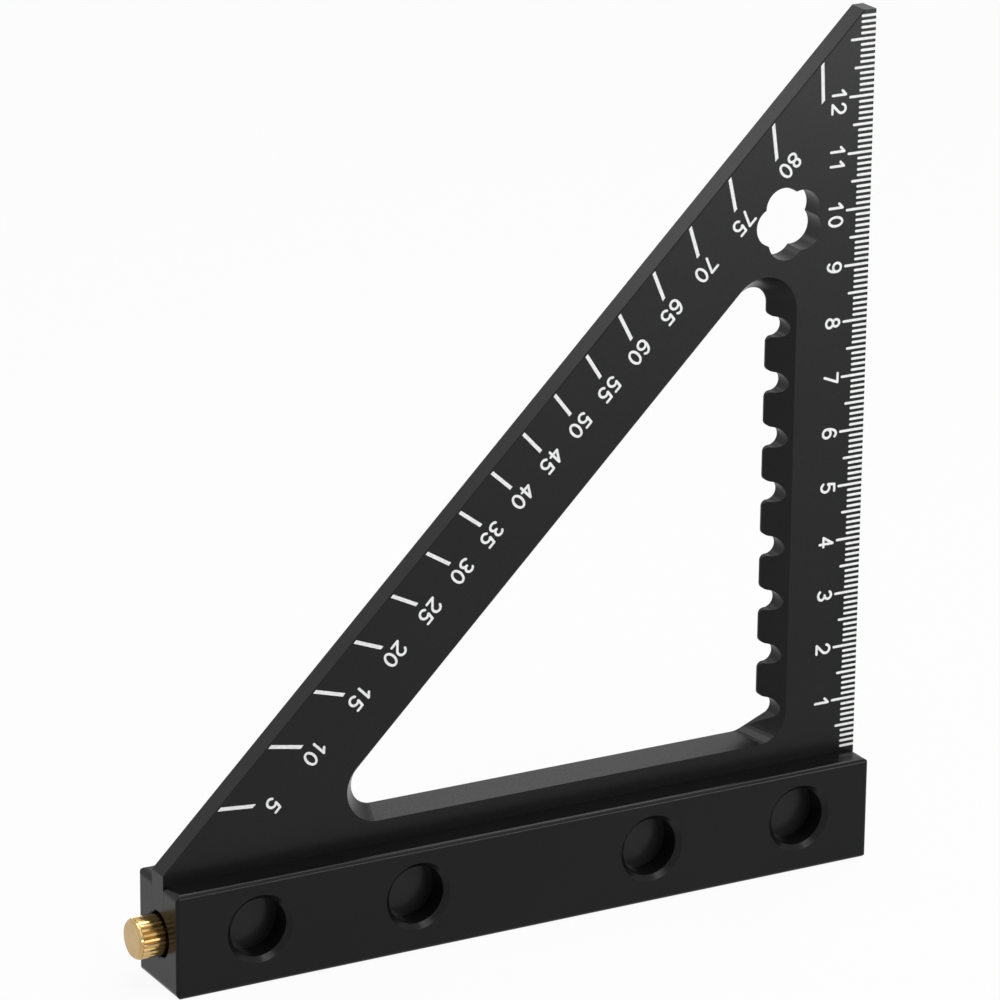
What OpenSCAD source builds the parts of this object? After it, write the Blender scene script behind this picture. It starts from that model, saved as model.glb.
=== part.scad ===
// Rafter square: a 45 degree plate standing in a fence bar, with a scriber stored in the bar's end.
// X runs along the bar, Y from the marked front face to the back, Z up.
// The origin is the centre of the bar's bottom face.

/* [Plate] */
// Height of the scale edge above the bar
scale_len = 135; // [115:1:150]
// Thickness of the plate
plate_t = 4.3; // [3.6:0.1:5]
// Flat at the top tip
tip_top = 2.3; // [1.6:0.1:4]
// Height above the bar of the plate's left tip
tip_left = 1.7; // [1:0.1:3]
// Chamfer along the long edge
edge_chamfer = 0.15; // [0.1:0.05:0.4]

/* [Window] */
// Width of the upright rail between scale edge and window, at the front face
rail_right = 14.3; // [13:0.1:17]
// Height of the bottom rail above the bar, at the front face
rail_bottom = 4.2; // [3:0.1:6]
// Width of the band along the long edge, at the front face
rail_long = 16.65; // [14:0.05:19]
// How far the bevel runs in along the notched side
bevel_right = 3.65; // [2.8:0.05:4.2]
// How far the bevel runs in along the bottom side
bevel_bottom = 1.65; // [1:0.05:2.5]
// How far the bevel runs in along the long side
bevel_long = 2.75; // [1.5:0.05:3.4]
// Thickness of the flat lip left behind the bevel
lip_land = 0.4; // [0.3:0.1:1]
// Corner radius of the window at the top, front face
round_top = 6.6; // [5.5:0.1:8]
// Corner radius of the window at the left, front face
round_left = 6; // [5:0.25:8]
// Corner radius of the window at the lower right, front face
round_foot = 5.5; // [4.5:0.25:7]
// Corner radius at the top, back face
round_top_back = 3.2; // [2.4:0.1:4.5]
// Corner radius at the left, back face
round_left_back = 4; // [3:0.25:5.5]
// Corner radius at the lower right, back face
round_foot_back = 5; // [4:0.25:6]

/* [Pencil notches] */
// Number of notches
notch_count = 8; // [4:1:8]
// Distance from one notch to the next, and from the bar to the first
notch_pitch = 10; // [8:0.5:10]
// Width of a notch
notch_w = 3.7; // [3:0.1:4.5]
// Depth of a notch from the lip's edge
notch_depth = 2.95; // [2.4:0.05:3.1]
// Rounding of the teeth between the notches
tooth_round = 1.05; // [0.4:0.05:1.05]

/* [Lobed hole] */
// Number of lobes
lobe_count = 5; // [4:1:6]
// Radius of one lobe
lobe_r = 3.53; // [3.2:0.01:3.8]
// Distance of a lobe's centre from the hole's centre
lobe_offset = 3.1; // [2.6:0.1:3.4]
// Turn of the lobes
lobe_turn = 41.7; // [0:0.1:72]
// Distance of the hole's centre from the scale edge
hole_in = 16.1; // [14:0.1:18]
// Distance of the hole's centre below the plate's top
hole_down = 35.8; // [35:0.1:37]

/* [Bar] */
// Depth of the bar, front to back
bar_d = 14.7; // [14:0.1:18]
// Height of the bar
bar_h = 18.9; // [18:0.1:23]
// Depth of the slot that holds the plate
slot_depth = 4.5; // [4:0.25:4.75]
// Rounding of the bar's corners as seen from the front
bar_corner = 1.2; // [0.8:0.1:2.5]
// Rounding of the bar's long edges
bar_edge = 0.8; // [0.5:0.1:1.2]
// Rounding of the bar's upright edges
bar_end_edge = 0.6; // [0.3:0.1:2]

/* [Recesses] */
// Diameter of the four round recesses
recess_dia = 10.5; // [9:0.1:11]
// Depth of the recesses
recess_depth = 4.7; // [2.5:0.1:4.8]
// Chamfer round each recess
recess_chamfer = 0.85; // [0.3:0.05:1]
// Distance from the bar's left end to the first recess
recess_in_left = 15.5; // [13.5:0.1:17]
// Distance from the bar's right end to the last recess
recess_in_right = 14.2; // [13.5:0.1:17]
// Height of the recesses' centres above the bar's underside
recess_up = 10.1; // [9:0.1:10.3]
// Distance between the two recesses of a pair
recess_step = 30; // [20:1:34]

/* [Screws] */
// Number of screws
screw_count = 4; // [2:1:4]
// Diameter of the screws
screw_d = 3; // [2.5:0.5:3.5]
// Diameter of the screw heads
screw_head_d = 5.6; // [5.2:0.2:6.6]
// Length of the screws, head included
screw_len = 19.5; // [17:0.5:20.5]
// Distance from the bar's right end to the first screw
screw_in = 8; // [7:0.5:10]
// Distance between the screws
screw_pitch = 26; // [22:1:27]
// Across flats of the socket in the head
screw_socket = 2; // [1.5:0.5:2]
// Depth of the socket
socket_depth = 1.1; // [0.8:0.1:1.3]
// How far the heads lie below the bar's underside
head_sink = 0.2; // [0.1:0.1:0.4]

/* [Scriber] */
// Diameter of the knurled head
head_d = 7.2; // [6:0.2:7.6]
// How far the head stands out of the bar
head_out = 4.9; // [4:0.1:9]
// Depth of the pocket round the head
pocket_depth = 4.5; // [3:0.5:5]
// Gap all round between the head and its pocket
pocket_gap = 0.4; // [0.3:0.1:0.6]
// Chamfer at the pocket's mouth
pocket_chamfer = 0.25; // [0.2:0.05:0.4]
// Number of knurl ridges
knurl_count = 24; // [16:1:30]
// Depth of the knurl grooves
knurl_depth = 0.32; // [0.15:0.01:0.4]
// Length of the plain collar at the head's outer end
collar_len = 0.7; // [0.6:0.1:2]
// Share of a knurl step that is crest
crest_share = 0.4; // [0.2:0.05:0.6]
// Chamfer on the ends of the head
head_chamfer = 0.5; // [0.3:0.1:0.7]
// Diameter of the needle
needle_d = 2; // [1.6:0.1:2.2]
// Length of the needle that shows when the scriber is out
needle_out = 31; // [26:1:33]
// Length of the needle's point
point_len = 4; // [3:0.5:6]
// Flat at the needle's tip
point_tip_d = 0.1; // [0.1:0.05:0.3]
// Length of the needle seated in the head
needle_seat = 6; // [4:0.5:7]
// Outer diameter of the friction bush
bush_d = 4; // [3.6:0.2:4.4]
// Length of the friction bush
bush_len = 10; // [8:1:14]
// Width of the slit in the bush
bush_slit = 0.5; // [0.3:0.1:0.8]

/* [Fits] */
// Gap each side of the plate in its slot
slot_fit = 0.03; // [0.02:0.01:0.06]
// Radial gap of the needle in the bush
needle_fit = 0.04; // [0.02:0.01:0.08]
// Radial gap of seated pieces, such as the bush in the bar
seat_fit = 0.01; // [0.01:0.01:0.03]
// Radial gap of the screws in the bar
screw_fit = 0.2; // [0.1:0.05:0.3]
// Gap between the pocket's floor and the head
head_rest = 0.3; // [0.1:0.1:0.5]
// Free room past the needle's point
point_room = 1.5; // [1:0.5:2.5]
// Radial room round the needle past the bush
needle_room = 0.5; // [0.3:0.1:0.7]
// Free room past the screws' tips
screw_room = 0.5; // [0.3:0.1:1]

/* [Hidden] */
$fn = 48;
eps = 0.01;
through = 1;
root2 = sqrt(2);

// Both legs meet the 45 degree edge at one distance from the right-angle corner
leg_sum = scale_len + tip_top;
bar_l = leg_sum - tip_left;
x_right = bar_l / 2;
plate_foot_z = bar_h - slot_depth;
window_lip = plate_t - lip_land;
// Where the window's long side crosses a leg, at the front and at the back
long_front = leg_sum - rail_long * root2;
long_back = leg_sum - (rail_long + bevel_long) * root2;
lip_x = rail_right + bevel_right;
notch_r = notch_w / 2;
lowest_notch = [notch_depth - notch_r - lip_x, notch_pitch];

axis_z = bar_h / 2;
pocket_r = head_d / 2 + pocket_gap;
pocket_floor_x = -x_right + pocket_depth;
head_len = head_out + pocket_depth - head_rest;
head_inner_x = pocket_floor_x - head_rest;
head_outer_x = -x_right - head_out;
point_x = head_inner_x + needle_out;
cone_h = (screw_head_d - screw_d) / 2;
head_facets = 96;

// Centres of the window's three corner rounds, measured leftward from the scale edge and up from the bar
function top_centre(a, s, r) = [-(a + r), s - a - r - root2 * r];
function left_centre(b, s, r) = [b + r - s + root2 * r, b + r];
function foot_centre(a, b, r) = [-(a + r), b + r];

// Puts a shape drawn in plate coordinates (scale edge, bar top) into the model, its +Z pointing to the back
module on_plate() {
    translate([x_right, -plate_t / 2, bar_h]) rotate([-90, 0, 0]) mirror([0, 1, 0]) children();
}

module corner_cone(front, back, r_front, r_back, h) {
    hull() {
        translate([front.x, front.y, -eps]) cylinder(r = r_front, h = eps);
        translate([back.x, back.y, h - eps]) cylinder(r = r_back, h = eps);
    }
}

// The bevelled part of the window, wide at the front face and narrow at the lip
module window_bevel() {
    hull() {
        corner_cone(top_centre(rail_right, long_front, round_top),
                    top_centre(lip_x, long_back, round_top_back),
                    round_top, round_top_back, window_lip);
        corner_cone(left_centre(rail_bottom, long_front, round_left),
                    left_centre(rail_bottom + bevel_bottom, long_back, round_left_back),
                    round_left, round_left_back, window_lip);
        corner_cone(foot_centre(rail_right, rail_bottom, round_foot),
                    foot_centre(lip_x, rail_bottom + bevel_bottom, round_foot_back),
                    round_foot, round_foot_back, window_lip);
    }
}

// The straight part of the window through the lip
module window_lip_cut() {
    top = top_centre(lip_x, long_back, round_top_back);
    left = left_centre(rail_bottom + bevel_bottom, long_back, round_left_back);
    foot = foot_centre(lip_x, rail_bottom + bevel_bottom, round_foot_back);
    translate([0, 0, window_lip - 2 * eps]) hull() {
        translate([top.x, top.y]) cylinder(r = round_top_back, h = lip_land + through);
        translate([left.x, left.y]) cylinder(r = round_left_back, h = lip_land + through);
        translate([foot.x, foot.y]) cylinder(r = round_foot_back, h = lip_land + through);
    }
}

// One pencil notch, opening leftward from the lip, with the teeth on the given sides rounded
module notch_outline(sides) {
    bottom_x = notch_depth - notch_r;
    translate([bottom_x, 0]) circle(r = notch_r);
    translate([-through, -notch_r]) square([bottom_x + through, notch_w]);
    for (side = sides) difference() {
        translate([-through, side * (notch_r + tooth_round / 2) - tooth_round / 2])
            square([through + tooth_round, tooth_round]);
        translate([tooth_round, side * (notch_r + tooth_round)]) circle(r = tooth_round);
    }
}

// The lowest notch has no tooth below it and runs out straight into the round of the window's corner
module lowest_notch_run() {
    corner = foot_centre(lip_x, rail_bottom + bevel_bottom, round_foot_back);
    across = lowest_notch - corner;
    slope = atan2(across.y, across.x) + asin((round_foot_back - notch_r) / norm(across));
    below = [sin(slope), -cos(slope)];
    polygon([corner, corner + (round_foot_back - eps) * below,
        lowest_notch + notch_r * below, lowest_notch]);
}

module notches() {
    translate([0, 0, -through]) linear_extrude(plate_t + 2 * through) {
        for (i = [1 : notch_count])
            translate([-lip_x, i * notch_pitch]) notch_outline(i == 1 ? [1] : [-1, 1]);
        lowest_notch_run();
    }
}

module lobed_hole() {
    translate([-hole_in, scale_len - hole_down, -through]) for (i = [0 : lobe_count - 1])
        rotate(lobe_turn + i * 360 / lobe_count) translate([lobe_offset, 0])
            cylinder(r = lobe_r, h = plate_t + 2 * through);
}

module plate_outline() {
    polygon([[0, -slot_depth], [0, scale_len], [-tip_top, scale_len],
        [-bar_l, tip_left], [-bar_l, -slot_depth]]);
}

// A wedge along the long edge, taken off the front and the back
module long_edge_chamfer() {
    for (z = [0, plate_t])
        translate([-leg_sum / 2, leg_sum / 2, z]) rotate(45) rotate([0, 90, 0])
            linear_extrude(2 * leg_sum, center = true) rotate(45)
                square(edge_chamfer * root2, center = true);
}

module screw_places() {
    for (i = [0 : screw_count - 1])
        translate([x_right - screw_in - i * screw_pitch, 0, 0]) children();
}

module plate() {
    color([0.12, 0.12, 0.13]) difference() {
        on_plate() difference() {
            linear_extrude(plate_t) plate_outline();
            window_bevel();
            window_lip_cut();
            notches();
            lobed_hole();
            long_edge_chamfer();
        }
        screw_places() translate([0, 0, plate_foot_z - through])
            cylinder(d = screw_d + 2 * seat_fit,
                     h = head_sink + screw_len + screw_room - plate_foot_z + through);
    }
}

module rounded_rect(w, h, r) {
    translate([-w / 2 + r, -h / 2]) square([w - 2 * r, h]);
    translate([-w / 2, -h / 2 + r]) square([w, h - 2 * r]);
    for (x = [-1, 1], y = [-1, 1])
        translate([x * (w / 2 - r), y * (h / 2 - r)]) circle(r = r);
}

module bar_block() {
    intersection() {
        translate([0, 0, bar_h / 2]) rotate([90, 0, 0])
            linear_extrude(bar_d + 2 * through, center = true) rounded_rect(bar_l, bar_h, bar_corner);
        translate([0, 0, bar_h / 2]) rotate([90, 0, 90])
            linear_extrude(bar_l + 2 * through, center = true) rounded_rect(bar_d, bar_h, bar_edge);
        translate([0, 0, -through])
            linear_extrude(bar_h + 2 * through) rounded_rect(bar_l, bar_d, bar_end_edge);
    }
}

module recess() {
    rotate([-90, 0, 0]) {
        translate([0, 0, -through]) cylinder(d = recess_dia, h = recess_depth + through);
        translate([0, 0, -eps])
            cylinder(d1 = recess_dia + 2 * recess_chamfer + 2 * eps, d2 = recess_dia,
                     h = recess_chamfer + eps);
    }
}

module recesses() {
    for (step = [0, recess_step], x = [recess_in_left + step - x_right, x_right - recess_in_right - step])
        translate([x, -bar_d / 2, recess_up]) recess();
}

// Pocket for the head, bore for the bush and the narrower bore that the needle runs into
module scriber_bores() {
    translate([-x_right, 0, axis_z]) rotate([0, 90, 0]) {
        translate([0, 0, -through]) cylinder(r = pocket_r, h = pocket_depth + through);
        translate([0, 0, -eps])
            cylinder(r1 = pocket_r + pocket_chamfer + eps, r2 = pocket_r, h = pocket_chamfer + eps);
        cylinder(d = bush_d + 2 * seat_fit, h = pocket_depth + bush_len);
        cylinder(d = needle_d + 2 * needle_room, h = point_x + point_room + x_right);
    }
}

module bar() {
    color([0.1, 0.1, 0.11]) difference() {
        bar_block();
        translate([-bar_l, -plate_t / 2 - slot_fit, plate_foot_z])
            cube([2 * bar_l, plate_t + 2 * slot_fit, slot_depth + through]);
        recesses();
        scriber_bores();
        screw_places() {
            translate([0, 0, -through]) cylinder(d = screw_d + 2 * screw_fit, h = bar_h);
            translate([0, 0, -eps]) cylinder(d = screw_head_d + 2 * seat_fit, h = head_sink + eps);
            translate([0, 0, head_sink])
                cylinder(d1 = screw_head_d + 2 * seat_fit, d2 = screw_d + 2 * seat_fit, h = cone_h);
        }
    }
}

module bar_screw() {
    difference() {
        union() {
            cylinder(d1 = screw_head_d, d2 = screw_d, h = cone_h);
            cylinder(d = screw_d, h = screw_len);
        }
        translate([0, 0, -eps]) cylinder(d = screw_socket / cos(30), h = socket_depth + eps, $fn = 6);
    }
}

module bar_screws() {
    color([0.35, 0.35, 0.36]) screw_places() translate([0, 0, head_sink]) bar_screw();
}

// Ridges of the knurl: each has a flat crest and a sharp groove beside it
module knurl_section(r) {
    step = 360 / knurl_count;
    groove = (1 + crest_share) / 2;
    polygon([for (i = [0 : knurl_count - 1], k = [0, crest_share, groove])
        (k == groove ? r - knurl_depth : r) * [cos(step * (i + k)), sin(step * (i + k))]]);
}

module head_envelope() {
    r = head_d / 2;
    rotate_extrude($fn = head_facets) polygon([[0, 0], [r - head_chamfer, 0], [r, head_chamfer],
        [r, head_len - head_chamfer], [r - head_chamfer, head_len], [0, head_len]]);
}

module scriber_head() {
    color([0.85, 0.66, 0.3]) translate([head_outer_x, 0, axis_z]) rotate([0, 90, 0]) difference() {
        intersection() {
            head_envelope();
            union() {
                translate([0, 0, collar_len]) linear_extrude(head_len) knurl_section(head_d / 2);
                translate([0, 0, -through])
                    cylinder(r = head_d / 2 - knurl_depth / 2, h = collar_len + through + eps);
            }
        }
        translate([0, 0, head_len - needle_seat])
            cylinder(d = needle_d + 2 * seat_fit, h = needle_seat + through);
    }
}

module scriber_needle() {
    color([0.75, 0.76, 0.78]) translate([head_inner_x - needle_seat, 0, axis_z]) rotate([0, 90, 0]) {
        straight = needle_seat + needle_out - point_len;
        cylinder(d = needle_d, h = straight);
        translate([0, 0, straight]) cylinder(d1 = needle_d, d2 = point_tip_d, h = point_len);
    }
}

module scriber_bush() {
    color([0.8, 0.6, 0.3]) translate([pocket_floor_x, 0, axis_z]) rotate([0, 90, 0]) difference() {
        cylinder(d = bush_d, h = bush_len);
        translate([0, 0, -through]) cylinder(d = needle_d + 2 * needle_fit, h = bush_len + 2 * through);
        translate([0, -bush_slit / 2, -through]) cube([bush_d, bush_slit, bush_len + 2 * through]);
    }
}

plate();
bar();
bar_screws();
scriber_head();
scriber_needle();
scriber_bush();
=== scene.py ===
"""Looks of the rafter square: anodised plate and bar, brass scriber head, white marks and numbers."""
import math

import bmesh
import bpy
from mathutils import Matrix, Vector


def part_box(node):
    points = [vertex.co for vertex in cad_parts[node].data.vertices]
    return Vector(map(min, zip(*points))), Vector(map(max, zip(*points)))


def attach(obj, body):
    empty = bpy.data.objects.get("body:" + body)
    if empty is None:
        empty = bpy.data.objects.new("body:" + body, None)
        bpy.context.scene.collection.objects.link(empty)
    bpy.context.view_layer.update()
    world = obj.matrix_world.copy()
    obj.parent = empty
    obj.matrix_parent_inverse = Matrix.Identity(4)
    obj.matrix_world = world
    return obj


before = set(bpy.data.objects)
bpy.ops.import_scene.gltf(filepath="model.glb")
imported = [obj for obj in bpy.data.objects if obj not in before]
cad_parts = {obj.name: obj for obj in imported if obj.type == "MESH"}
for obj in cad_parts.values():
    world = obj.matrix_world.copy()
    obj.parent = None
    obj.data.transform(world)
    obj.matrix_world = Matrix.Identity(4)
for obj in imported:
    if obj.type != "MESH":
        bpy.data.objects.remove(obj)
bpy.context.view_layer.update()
MM = 0.001

# Places taken from the frame: the plate's front face, its scale edge and the bar's top face
PLATE_LOW, PLATE_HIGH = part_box("plate")
BAR_LOW, BAR_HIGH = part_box("bar")
FACE_Y = PLATE_LOW.y
EDGE_X = PLATE_HIGH.x
BAR_TOP = BAR_HIGH.z

# Place of the floors of the bar's round recess pockets, how far from it and how squarely to the front a
# face may lie to count as one, and the painted light added to their colour, a lift that stands in for
# light reaching them
RECESS_FLOOR_Y = BAR_LOW.y + 4.7 * MM
RECESS_REACH = 0.5 * MM
FORWARD = -0.9
RECESS_PAINTED_LIGHT = (0.011, 0.011, 0.0112)

# The paint's height over the plate's face and its depth below it, in millimetres
MARK_PROUD = 0.02
MARK_SUNK = 0.05

# The millimetre scale: its ticks, and its numbers' place left of the edge
SCALE_LEN = 134
TICK_W = 0.46
TICK_LENGTHS = {1: 2.95, 5: 4.05, 10: 4.95}
SCALE_DIGIT_X = -6.93
SCALE_ADVANCE = 0.83
SCALE_PAIR_SHIFT = -0.5
LAST_SCALE_NUMBER = 12

# The degree marks run between two lines parallel to the long edge and point to a place near the scale
# edge's foot. Such a line is given by its height above the bar less its place along the bar.
DEGREE_STEP = 5
LAST_DEGREE_MARK = 85
LAST_DEGREE_NUMBER = 80
DEGREE_W = 0.66
DEGREE_OUTER = 136.95
DEGREE_INNER = 129.85
DEGREE_DIGIT_SUM = 125.8
DEGREE_PIVOT = Vector((0.4, 0.86))
DEGREE_AIM = Vector((-4.0, 1.0))
DEGREE_ADVANCE = 0.76

# How far each degree number stands off its mark, in degrees round the pivot
LABEL_TURN = {
    80: 1.2, 75: 0.5, 70: 0.3, 65: 0.2, 35: -0.3, 30: -0.2, 25: -0.25, 20: -0.4,
    15: -0.15, 10: -0.6, 5: -0.1,
}

# Digits are this high in millimetres; their box and strokes are drawn in units of that height
DIGIT_H = 3.1
DIGIT_BOX_W = 0.66
DIGIT_STROKE = 0.15
GLYPH_STEP = 0.001

# Camera at the photo's place, lens in millimetres on a 36 mm sensor
CAMERA_PLACE = Vector((-437.15, -784.18, 385.61)) * MM
CAMERA_RIGHT = Vector((0.876435, -0.481434, 0.009163))
CAMERA_DOWN = Vector((-0.149552, -0.290243, -0.945195))
CAMERA_LENS = 202.155
SENSOR_W = 36.0

# Lamps, each with its place and size in metres and its power in watts
LOOK_AT = Vector((0.0, 0.0, 0.075))
LAMPS = {
    "top": ((0.64, 0.14, 1.20), 1.0, 0.5, 6.5),
    "overhead": ((0.0, -0.32, 1.18), 0.7, 0.8, 8.0),
    "front_high": ((0.40, -0.95, 0.95), 0.8, 0.8, 1.1),
    "front_low": ((0.37, -0.60, 0.062), 0.5, 0.11, 1.6),
    "back": ((-0.054, 0.289, 0.31), 0.1, 0.1, 0.06),
}

# The studio's own light, dim below and brighter towards one side
BRIGHT_SIDE = (0.35, 0.45, 0.82)
DIM_AT = -0.35
BRIGHT_AT = 0.95
WORLD_DIM = 0.06
WORLD_BRIGHT = 0.3
WORLD_COLOUR = (0.97, 0.98, 1.0, 1)

# The floor lies a hair under the bar and shows white, with a share left for the object's shadow
FLOOR_RADIUS = 3.0
FLOOR_SIDES = 96
FLOOR_GAP = 0.02 * MM
FLOOR_WHITE = 0.94
WHITE = (1, 1, 1, 1)


# The part of its range that a noise fills, and the depths of the surfaces' grain
NOISE_MIDDLE = (0.3, 0.7)
BLAST_DEPTH = 0.04 * MM
TOOL_LINE_DEPTH = 0.03 * MM
PAINT_DEPTH = 0.02 * MM


# Node helpers

def new_material(name):
    mat = bpy.data.materials.new(name)
    mat.use_nodes = True
    nodes, links = mat.node_tree.nodes, mat.node_tree.links
    return mat, nodes, links, nodes["Principled BSDF"]


def noise(nodes, links, scale, detail=3.0, stretch=(1, 1, 1)):
    coord = nodes.new("ShaderNodeTexCoord")
    mapping = nodes.new("ShaderNodeMapping")
    mapping.inputs["Scale"].default_value = stretch
    tex = nodes.new("ShaderNodeTexNoise")
    tex.inputs["Scale"].default_value = scale
    tex.inputs["Detail"].default_value = detail
    links.new(coord.outputs["Object"], mapping.inputs["Vector"])
    links.new(mapping.outputs["Vector"], tex.inputs["Vector"])
    return tex.outputs["Fac"]


def ramp(nodes, links, value, low, high):
    """Colour that runs from low to high over the middle of the noise's range."""
    node = nodes.new("ShaderNodeValToRGB")
    node.color_ramp.elements[0].position = NOISE_MIDDLE[0]
    node.color_ramp.elements[0].color = (*low, 1)
    node.color_ramp.elements[1].position = NOISE_MIDDLE[1]
    node.color_ramp.elements[1].color = (*high, 1)
    links.new(value, node.inputs["Fac"])
    return node.outputs["Color"]


def spread(nodes, links, value, source, target):
    """The value's source range laid over the target range."""
    node = nodes.new("ShaderNodeMapRange")
    node.inputs["From Min"].default_value = source[0]
    node.inputs["From Max"].default_value = source[1]
    node.inputs["To Min"].default_value = target[0]
    node.inputs["To Max"].default_value = target[1]
    links.new(value, node.inputs["Value"])
    return node.outputs["Result"]


def bump(nodes, links, bsdf, value, strength, depth):
    node = nodes.new("ShaderNodeBump")
    node.inputs["Strength"].default_value = strength
    node.inputs["Distance"].default_value = depth
    links.new(value, node.inputs["Height"])
    links.new(node.outputs["Normal"], bsdf.inputs["Normal"])


def math_node(nodes, links, operation, first, second):
    """Result of the operation on an output and either another output or a number."""
    node = nodes.new("ShaderNodeMath")
    node.operation = operation
    links.new(first, node.inputs[0])
    if isinstance(second, float):
        node.inputs[1].default_value = second
    else:
        links.new(second, node.inputs[1])
    return node.outputs[0]


def grey_floors(nodes, links, colour):
    """The colour, with painted light added on faces that look to the front at the depth of the recess
    floors: a lighter tone that stands in for light reaching them.
    """
    coord = nodes.new("ShaderNodeTexCoord")
    place = nodes.new("ShaderNodeSeparateXYZ")
    facing = nodes.new("ShaderNodeSeparateXYZ")
    links.new(coord.outputs["Object"], place.inputs[0])
    links.new(coord.outputs["Normal"], facing.inputs[0])
    depth = math_node(nodes, links, "SUBTRACT", place.outputs["Y"], RECESS_FLOOR_Y)
    distance = math_node(nodes, links, "ABSOLUTE", depth, 0.0)
    at_floor = math_node(nodes, links, "LESS_THAN", distance, RECESS_REACH)
    to_front = math_node(nodes, links, "LESS_THAN", facing.outputs["Y"], FORWARD)
    painted_light_here = math_node(nodes, links, "MULTIPLY", at_floor, to_front)
    added = nodes.new("ShaderNodeVectorMath")
    added.operation = "MULTIPLY_ADD"
    added.inputs[0].default_value = RECESS_PAINTED_LIGHT
    links.new(painted_light_here, added.inputs[1])
    links.new(colour, added.inputs[2])
    return added.outputs["Vector"]


def mix_shaders(nodes, links, share, first, second, surface):
    mix = nodes.new("ShaderNodeMixShader")
    links.new(share, mix.inputs["Fac"])
    links.new(first, mix.inputs[1])
    links.new(second, mix.inputs[2])
    links.new(mix.outputs[0], surface)


# Materials

def anodised(name, low, high, rough, shine, painted_recess_light=False):
    """Black anodised aluminium: fine blasted grain under a thin satin oxide skin."""
    mat, nodes, links, bsdf = new_material(name)
    cloud = noise(nodes, links, 38.0, 4.0)
    fine = noise(nodes, links, 5200.0, 2.0)
    roughness = spread(nodes, links, fine, NOISE_MIDDLE, (rough - 0.04, rough + 0.05))
    colour = ramp(nodes, links, cloud, low, high)
    # Painted light: the recess floors' colour is lifted, standing in for light that reaches them
    if painted_recess_light:
        colour = grey_floors(nodes, links, colour)
    links.new(colour, bsdf.inputs["Base Color"])
    links.new(roughness, bsdf.inputs["Roughness"])
    bsdf.inputs["Metallic"].default_value = 0.0
    bsdf.inputs["Specular IOR Level"].default_value = shine
    bump(nodes, links, bsdf, fine, 0.12, BLAST_DEPTH)
    return mat


def metal(name, low, high, rough, stretch, grain=0.15):
    """Turned metal with fine tool lines along the stretched direction."""
    mat, nodes, links, bsdf = new_material(name)
    lines = noise(nodes, links, 900.0, 3.0, stretch)
    cloud = noise(nodes, links, 260.0, 3.0)
    roughness = spread(nodes, links, lines, NOISE_MIDDLE, (rough - 0.06, rough + 0.08))
    links.new(ramp(nodes, links, cloud, low, high), bsdf.inputs["Base Color"])
    links.new(roughness, bsdf.inputs["Roughness"])
    bsdf.inputs["Metallic"].default_value = 1.0
    bump(nodes, links, bsdf, lines, grain, TOOL_LINE_DEPTH)
    return mat


def white_paint():
    mat, nodes, links, bsdf = new_material("white_fill")
    cloud = noise(nodes, links, 1400.0, 2.0)
    colour = ramp(nodes, links, cloud, (0.82, 0.82, 0.81), (0.93, 0.93, 0.93))
    links.new(colour, bsdf.inputs["Base Color"])
    bsdf.inputs["Roughness"].default_value = 0.55
    bump(nodes, links, bsdf, cloud, 0.1, PAINT_DEPTH)
    return mat


def dress(node, material):
    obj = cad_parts[node]
    obj.data.materials.clear()
    obj.data.materials.append(material)


def dress_nodes():
    plate_low, plate_high = (0.0042, 0.0043, 0.0045), (0.006, 0.0061, 0.0063)
    bar_low, bar_high = (0.005, 0.0051, 0.0053), (0.0066, 0.0067, 0.0069)
    steel_low, steel_high = (0.10, 0.10, 0.105), (0.16, 0.16, 0.165)
    brass_low, brass_high = (0.44, 0.295, 0.118), (0.52, 0.36, 0.16)
    needle_low, needle_high = (0.62, 0.62, 0.64), (0.72, 0.72, 0.74)
    bush_low, bush_high = (0.70, 0.50, 0.22), (0.80, 0.60, 0.30)
    turned = (0.1, 1, 1)
    dress("plate", anodised("anodised_plate", plate_low, plate_high, 0.30, 0.18))
    # The bar's colour carries painted light on its recess floors
    dress("bar", anodised("anodised_bar", bar_low, bar_high, 0.21, 0.148, painted_recess_light=True))
    dress("bar_screws", metal("black_steel", steel_low, steel_high, 0.38, (1, 1, 1)))
    dress("scriber_head", metal("brass", brass_low, brass_high, 0.15, turned, 0.06))
    dress("scriber_needle", metal("ground_steel", needle_low, needle_high, 0.22, (6, 1, 1)))
    dress("scriber_bush", metal("bush_brass", bush_low, bush_high, 0.3, turned))


# Flat shapes on the plate's front face, drawn in millimetres left of the scale edge and above the bar

def plate_point(x, z, lift):
    return Vector((EDGE_X + x * MM, FACE_Y - lift * MM, BAR_TOP + z * MM))


def add_walls(mesh, first, second):
    """Faces between two rings of vertices."""
    count = len(first)
    for i in range(count):
        j = (i + 1) % count
        mesh.faces.new((first[i], first[j], second[j], second[i]))


def add_prism(mesh, outline):
    """A closed plate of the outline, from just under the face to just above it."""
    front = [mesh.verts.new(plate_point(x, z, MARK_PROUD)) for x, z in outline]
    back = [mesh.verts.new(plate_point(x, z, -MARK_SUNK)) for x, z in outline]
    mesh.faces.new(front)
    mesh.faces.new(back[::-1])
    add_walls(mesh, back, front)


def finish_mesh(mesh, name, material):
    bmesh.ops.recalc_face_normals(mesh, faces=mesh.faces)
    data = bpy.data.meshes.new(name)
    mesh.to_mesh(data)
    mesh.free()
    obj = bpy.data.objects.new(name, data)
    bpy.context.scene.collection.objects.link(obj)
    data.materials.append(material)
    return obj


# Strokes and digits

def round_cap(centre, direction, half, steps=6):
    """The half circle that ends a stroke, without the two points that the stroke's sides give."""
    base = math.atan2(direction.y, direction.x) + math.pi / 2
    angles = [base - math.pi * k / steps for k in range(1, steps)]
    return [centre + half * Vector((math.cos(angle), math.sin(angle))) for angle in angles]


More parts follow.
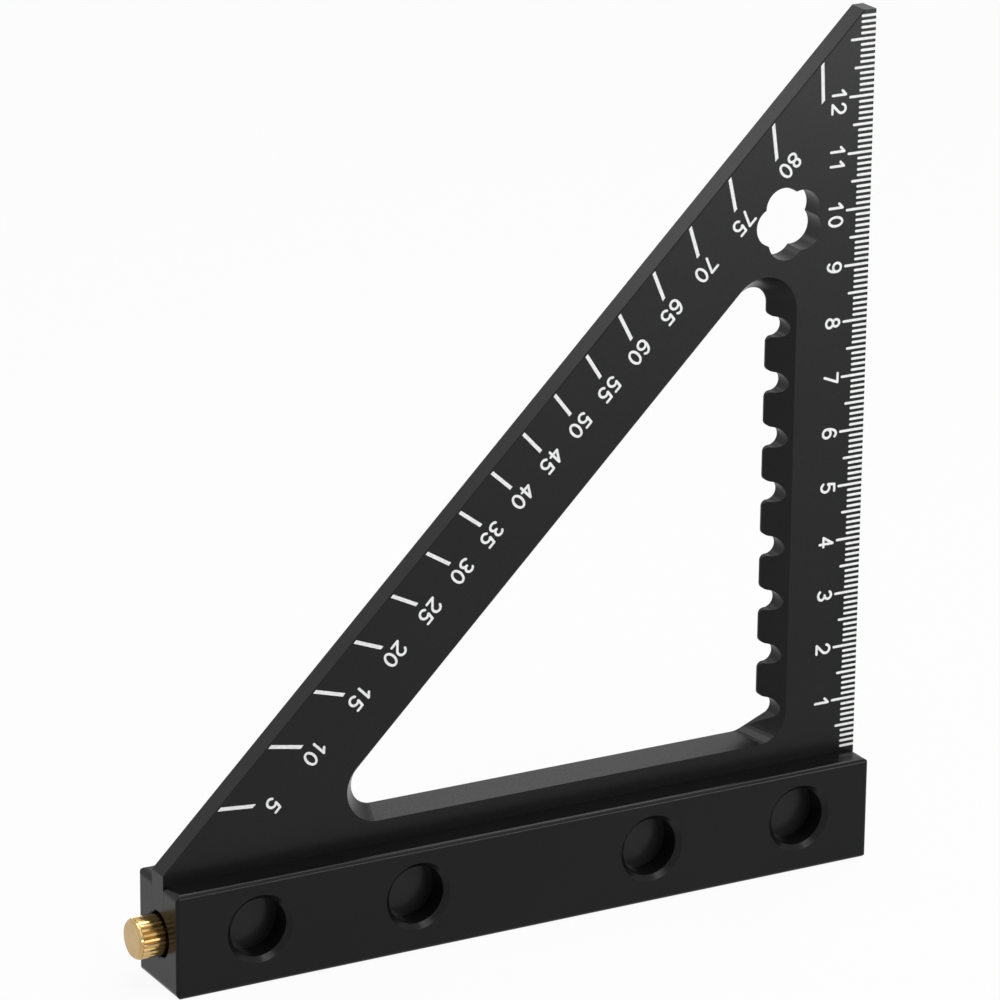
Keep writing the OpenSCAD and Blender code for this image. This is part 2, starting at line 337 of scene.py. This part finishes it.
def stroke(points, width, round_start=True):
    """Outline of a line of even width along the points, with a round end and a round or square start."""
    pts = [Vector(p) for p in points]
    half = width / 2
    left, right = [], []
    for i, p in enumerate(pts):
        before = (p - pts[i - 1]).normalized() if i else None
        after = (pts[i + 1] - p).normalized() if i < len(pts) - 1 else None
        along = ((before or after) + (after or before)).normalized()
        side = Vector((-along.y, along.x))
        turn = max(0.5, along.dot(after or before))
        left.append(p + side * (half / turn))
        right.append(p - side * (half / turn))
    end = round_cap(pts[-1], pts[-1] - pts[-2], half)
    start = round_cap(pts[0], pts[0] - pts[1], half) if round_start else []
    return left + end + right[::-1] + start


def arc(cx, cy, rx, ry, start, stop, steps):
    """Points of an elliptical arc, its angles in degrees."""
    angles = [math.radians(start + (stop - start) * k / steps) for k in range(steps + 1)]
    return [(cx + rx * math.cos(angle), cy + ry * math.sin(angle)) for angle in angles]


def glyph_strokes():
    """Centre lines of the ten digits in their box."""
    low, high = 0.075, 0.925
    six_tail = arc(0.375, 0.42, 0.295, 0.505, 55, 190, 12)
    six = [six_tail, arc(0.335, 0.325, 0.25, 0.25, 0, 360, 24)]
    nine = [[(DIGIT_BOX_W - x, 1 - y) for x, y in line] for line in six]
    return {
        "0": [arc(0.33, 0.5, 0.255, 0.425, 0, 360, 28)],
        "1": [[(0.14, 0.70), (0.38, high)], [(0.38, high), (0.38, low)]],
        "2": [arc(0.325, 0.665, 0.25, 0.26, 168, -38, 14) + [(0.08, low)], [(0.08, low), (0.59, low)]],
        "3": [arc(0.31, 0.715, 0.225, 0.21, 150, -90, 14), arc(0.31, 0.29, 0.26, 0.215, 90, -152, 14)],
        "4": [[(0.45, low), (0.45, high)], [(0.45, high), (0.07, 0.32)], [(0.07, 0.32), (0.61, 0.32)]],
        "5": [[(0.55, high), (0.16, high)], [(0.16, high), (0.11, 0.53)],
              arc(0.315, 0.34, 0.255, 0.265, 138, -148, 16)],
        "6": six,
        "7": [[(0.07, high), (0.59, high)], [(0.59, high), (0.25, low)]],
        "8": [arc(0.33, 0.72, 0.205, 0.205, 0, 360, 22), arc(0.33, 0.295, 0.25, 0.22, 0, 360, 24)],
        "9": nine,
    }


def ring_prism(mesh, loop, width):
    """A closed loop's band, one unit thick, drawn as an outer and an inner outline joined by faces."""
    pts = [Vector(p) for p in loop[:-1]]
    count = len(pts)
    rows = []
    for offset in (width / 2, -width / 2):
        for depth in (0.0, 1.0):
            row = []
            for i, p in enumerate(pts):
                along = (pts[(i + 1) % count] - pts[i - 1]).normalized()
                q = p + Vector((along.y, -along.x)) * offset
                row.append(mesh.verts.new((q.x, q.y, depth)))
            rows.append(row)
    outer_low, outer_high, inner_low, inner_high = rows
    add_walls(mesh, outer_low, outer_high)
    add_walls(mesh, outer_high, inner_high)
    add_walls(mesh, inner_high, inner_low)
    add_walls(mesh, inner_low, outer_low)


def stroke_prism(mesh, line, width):
    outline = stroke(line, width)
    bottom = [mesh.verts.new((p.x, p.y, 0.0)) for p in outline]
    top = [mesh.verts.new((p.x, p.y, 1.0)) for p in outline]
    mesh.faces.new(bottom[::-1])
    mesh.faces.new(top)
    add_walls(mesh, bottom, top)


def glyph_piece(name, line, material):
    mesh = bmesh.new()
    if (Vector(line[0]) - Vector(line[-1])).length < 1e-6:
        ring_prism(mesh, line, DIGIT_STROKE)
    else:
        stroke_prism(mesh, line, DIGIT_STROKE)
    return finish_mesh(mesh, name, material)


def build_glyph(name, lines, material):
    """One digit as a single closed solid, one unit high and one thick: its strokes joined by booleans."""
    pieces = [glyph_piece(f"glyph_{name}_{i}", line, material) for i, line in enumerate(lines)]
    whole = pieces[0]
    # Each stroke is a hair above the last, so that no two caps lie in one plane
    for i, extra in enumerate(pieces[1:]):
        extra.data.transform(Matrix.Translation((0, 0, GLYPH_STEP * (i + 1))))
        join = whole.modifiers.new("join", "BOOLEAN")
        join.operation = "UNION"
        join.solver = "EXACT"
        join.object = extra
    bpy.context.view_layer.update()
    shape = bpy.data.meshes.new_from_object(whole.evaluated_get(bpy.context.evaluated_depsgraph_get()))
    thickness = 1 + GLYPH_STEP * (len(pieces) - 1)
    shape.transform(Matrix.Scale(1 / thickness, 4, Vector((0, 0, 1))))
    for piece in pieces:
        bpy.data.objects.remove(piece)
    return shape


def place_number(mesh, glyphs, text, centre, up, advance):
    """Adds a number's digits, centred on a point of the plate face, its top towards up."""
    reading = Vector((up.y, -up.x))
    count = len(text)
    for i, char in enumerate(text):
        along = (i - (count - 1) / 2) * advance
        part = glyphs[char].copy()
        for vert in part.vertices:
            gx, gy, depth = vert.co.x - DIGIT_BOX_W / 2 + along, vert.co.y - 0.5, vert.co.z
            flat = centre + (reading * gx + up * gy) * DIGIT_H
            vert.co = plate_point(flat.x, flat.y, -MARK_SUNK + depth * (MARK_SUNK + MARK_PROUD))
        mesh.from_mesh(part)
        bpy.data.meshes.remove(part)


# The white marks and numbers

def tick_length(z):
    if z % 10 == 0:
        return TICK_LENGTHS[10]
    return TICK_LENGTHS[5] if z % 5 == 0 else TICK_LENGTHS[1]


def scale_ticks(paint):
    mesh = bmesh.new()
    for z in range(1, SCALE_LEN + 1):
        tip = -tick_length(z) + TICK_W / 2
        add_prism(mesh, stroke([(0, z), (tip, z)], TICK_W, round_start=False))
    return finish_mesh(mesh, "scale_ticks", paint)


def slide_to(start, along, total):
    """The point of a line whose height less its place along the bar is the total."""
    return start + along * ((total - (start.y - start.x)) / (along.y - along.x))


def on_ray(degrees, total):
    """Point at an angle round the pivot whose height less its place along the bar is the total."""
    ray = Vector((-math.cos(math.radians(degrees)), math.sin(math.radians(degrees))))
    return slide_to(DEGREE_PIVOT, ray, total)


def degree_marks(paint):
    mesh = bmesh.new()
    for degrees in range(DEGREE_STEP, LAST_DEGREE_MARK + 1, DEGREE_STEP):
        centre = on_ray(degrees, (DEGREE_INNER + DEGREE_OUTER) / 2)
        along = (centre - DEGREE_AIM).normalized()
        side = Vector((-along.y, along.x)) * DEGREE_W / 2
        one_side = [slide_to(centre + side, along, total) for total in (DEGREE_INNER, DEGREE_OUTER)]
        other_side = [slide_to(centre - side, along, total) for total in (DEGREE_OUTER, DEGREE_INNER)]
        add_prism(mesh, one_side + other_side)
    return finish_mesh(mesh, "degree_marks", paint)


def scale_numbers(paint, glyphs):
    mesh = bmesh.new()
    towards_edge = Vector((1, 0))
    for number in range(1, LAST_SCALE_NUMBER + 1):
        shift = SCALE_PAIR_SHIFT if number > 9 else 0.0
        centre = Vector((SCALE_DIGIT_X, number * 10 + shift))
        place_number(mesh, glyphs, str(number), centre, towards_edge, SCALE_ADVANCE)
    return finish_mesh(mesh, "scale_numbers", paint)


def degree_numbers(paint, glyphs):
    mesh = bmesh.new()
    down_right = Vector((1, -1)).normalized()
    for degrees in range(DEGREE_STEP, LAST_DEGREE_NUMBER + 1, DEGREE_STEP):
        centre = on_ray(degrees + LABEL_TURN.get(degrees, 0), DEGREE_DIGIT_SUM)
        place_number(mesh, glyphs, str(degrees), centre, down_right, DEGREE_ADVANCE)
    return finish_mesh(mesh, "degree_numbers", paint)


def make_marks():
    paint = white_paint()
    glyphs = {char: build_glyph(char, lines, paint) for char, lines in glyph_strokes().items()}
    pieces = [scale_ticks(paint), degree_marks(paint)]
    pieces += [scale_numbers(paint, glyphs), degree_numbers(paint, glyphs)]
    for piece in pieces:
        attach(piece, "square")


# Stage, light and camera

def make_camera():
    data = bpy.data.cameras.new("camera")
    data.lens = CAMERA_LENS
    data.sensor_width = SENSOR_W
    data.clip_start = 0.01
    camera = bpy.data.objects.new("camera", data)
    bpy.context.scene.collection.objects.link(camera)
    forward = CAMERA_RIGHT.cross(CAMERA_DOWN).normalized()
    up = -CAMERA_DOWN.normalized()
    right = up.cross(-forward).normalized()
    rotation = Matrix((right, up, -forward)).transposed().to_4x4()
    camera.matrix_world = Matrix.Translation(CAMERA_PLACE) @ rotation
    bpy.context.scene.camera = camera


def area_light(name, place, width, height, power):
    data = bpy.data.lights.new(name, "AREA")
    data.shape = "RECTANGLE"
    data.size = width
    data.size_y = height
    data.energy = power
    light = bpy.data.objects.new(name, data)
    bpy.context.scene.collection.objects.link(light)
    place = Vector(place)
    toward = (LOOK_AT - place).to_track_quat("-Z", "Y")
    light.matrix_world = Matrix.Translation(place) @ toward.to_matrix().to_4x4()


def make_lamps():
    for name, (place, width, height, power) in LAMPS.items():
        area_light(name, place, width, height, power)


def background_share(nodes, links, share):
    """The share for rays that see the background: from the camera, in a reflection or through glass."""
    path = nodes.new("ShaderNodeLightPath")
    seen = path.outputs["Is Camera Ray"]
    for name in ("Is Glossy Ray", "Is Transmission Ray"):
        seen = math_node(nodes, links, "MAXIMUM", seen, path.outputs[name])
    return math_node(nodes, links, "MULTIPLY", seen, share)


def make_world():
    """White wherever it is seen or reflected; as light, a soft studio that is brighter on one side."""
    world = bpy.data.worlds.new("studio")
    bpy.context.scene.world = world
    world.use_nodes = True
    nodes, links = world.node_tree.nodes, world.node_tree.links
    light = nodes["Background"]
    coord = nodes.new("ShaderNodeTexCoord")
    towards = nodes.new("ShaderNodeVectorMath")
    towards.operation = "DOT_PRODUCT"
    towards.inputs[1].default_value = BRIGHT_SIDE
    links.new(coord.outputs["Generated"], towards.inputs[0])
    source, target = (DIM_AT, BRIGHT_AT), (WORLD_DIM, WORLD_BRIGHT)
    links.new(spread(nodes, links, towards.outputs["Value"], source, target), light.inputs["Strength"])
    light.inputs["Color"].default_value = WORLD_COLOUR
    white = nodes.new("ShaderNodeBackground")
    white.inputs["Strength"].default_value = 1.0
    white.inputs["Color"].default_value = WHITE
    share = background_share(nodes, links, 1.0)
    surface = nodes["World Output"].inputs["Surface"]
    mix_shaders(nodes, links, share, light.outputs[0], white.outputs[0], surface)


def make_floor():
    mesh = bmesh.new()
    bmesh.ops.create_circle(mesh, cap_ends=True, radius=FLOOR_RADIUS, segments=FLOOR_SIDES)
    mat, nodes, links, bsdf = new_material("pale_floor")
    cloud = noise(nodes, links, 3.0, 2.0)
    colour = ramp(nodes, links, cloud, (0.68, 0.68, 0.68), (0.72, 0.72, 0.72))
    links.new(colour, bsdf.inputs["Base Color"])
    bsdf.inputs["Roughness"].default_value = 0.9
    glow = nodes.new("ShaderNodeEmission")
    glow.inputs["Color"].default_value = WHITE
    share = background_share(nodes, links, FLOOR_WHITE)
    surface = nodes["Material Output"].inputs["Surface"]
    mix_shaders(nodes, links, share, bsdf.outputs[0], glow.outputs[0], surface)
    floor = finish_mesh(mesh, "floor", mat)
    floor.location.z = BAR_LOW.z - FLOOR_GAP


dress_nodes()
make_marks()
make_world()
make_floor()
make_camera()
make_lamps()

bpy.context.scene.view_settings.view_transform = "Standard"
